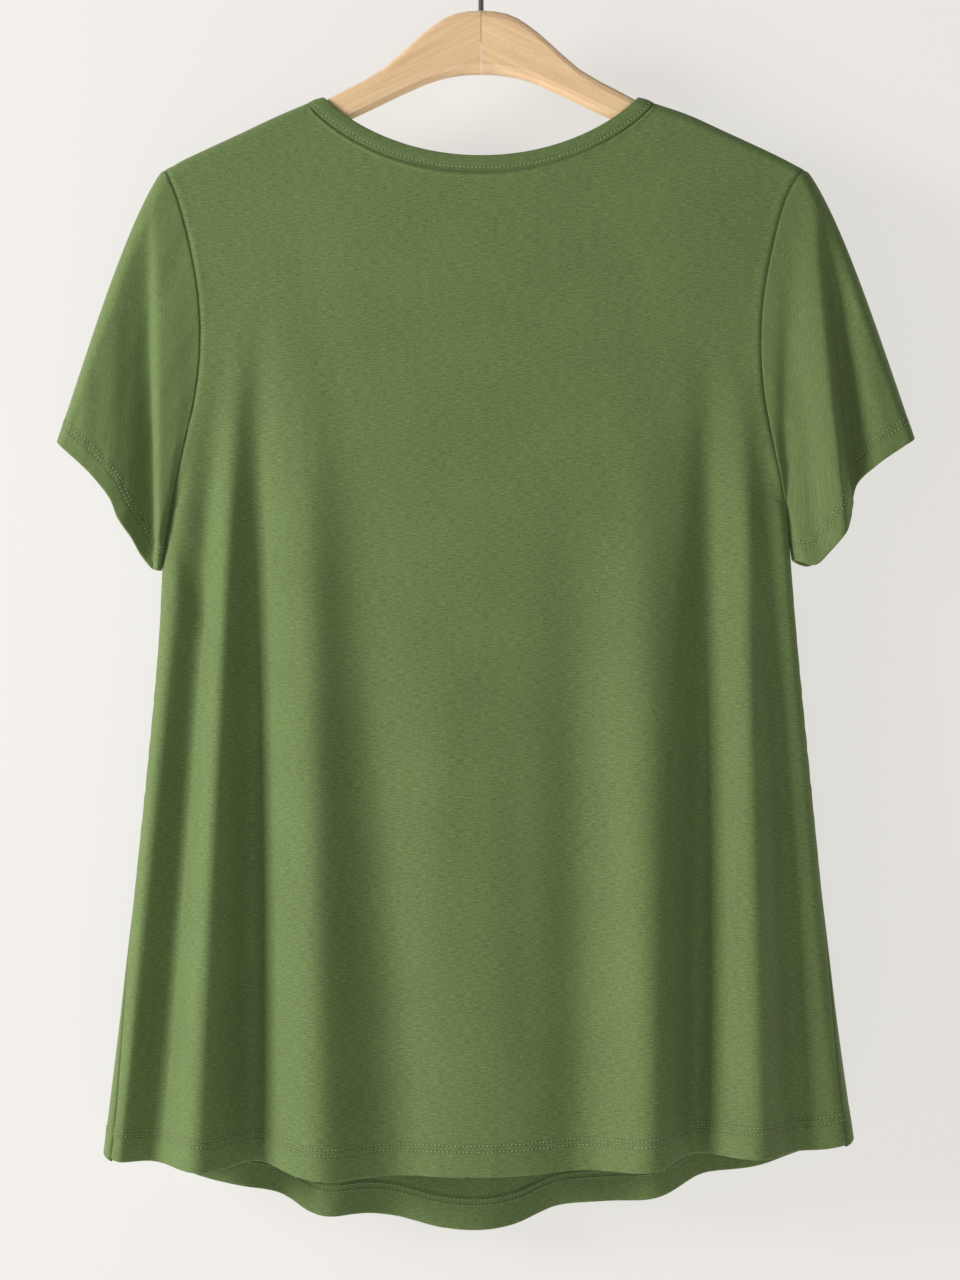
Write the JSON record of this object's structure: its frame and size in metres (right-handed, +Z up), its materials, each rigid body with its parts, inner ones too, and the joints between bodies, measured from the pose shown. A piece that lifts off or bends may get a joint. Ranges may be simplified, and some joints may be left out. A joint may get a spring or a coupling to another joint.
{
  "type": "short-sleeved t-shirt on a wooden hanger",
  "caption": "Flared short-sleeved jersey t-shirt with bound round neck and curved hem, seen from the back, hanging on a flat wooden hanger with a wire hook.",
  "frame": {"origin": "under the wire at the top of the hanger's hook, where a rod or wall hook carries it", "axes": "+Z up, +Y towards the garment's front, -Y towards its back, X across the shoulders"},
  "size_m": [0.5551, 0.0791, 0.8627],
  "materials": {
    "jersey": "soft heathered knit",
    "binding": "soft heathered knit",
    "wood": "satin lacquer",
    "wire": "polished"
  },
  "bodies": {
    "root": {"back_panel": "jersey", "front_panel": "jersey", "sleeve_left": "jersey", "sleeve_right": "jersey", "neck_band": "binding", "hanger_arm_left": "wood", "hanger_arm_right": "wood", "hanger_hook": "wire"}
  },
  "joints": []
}
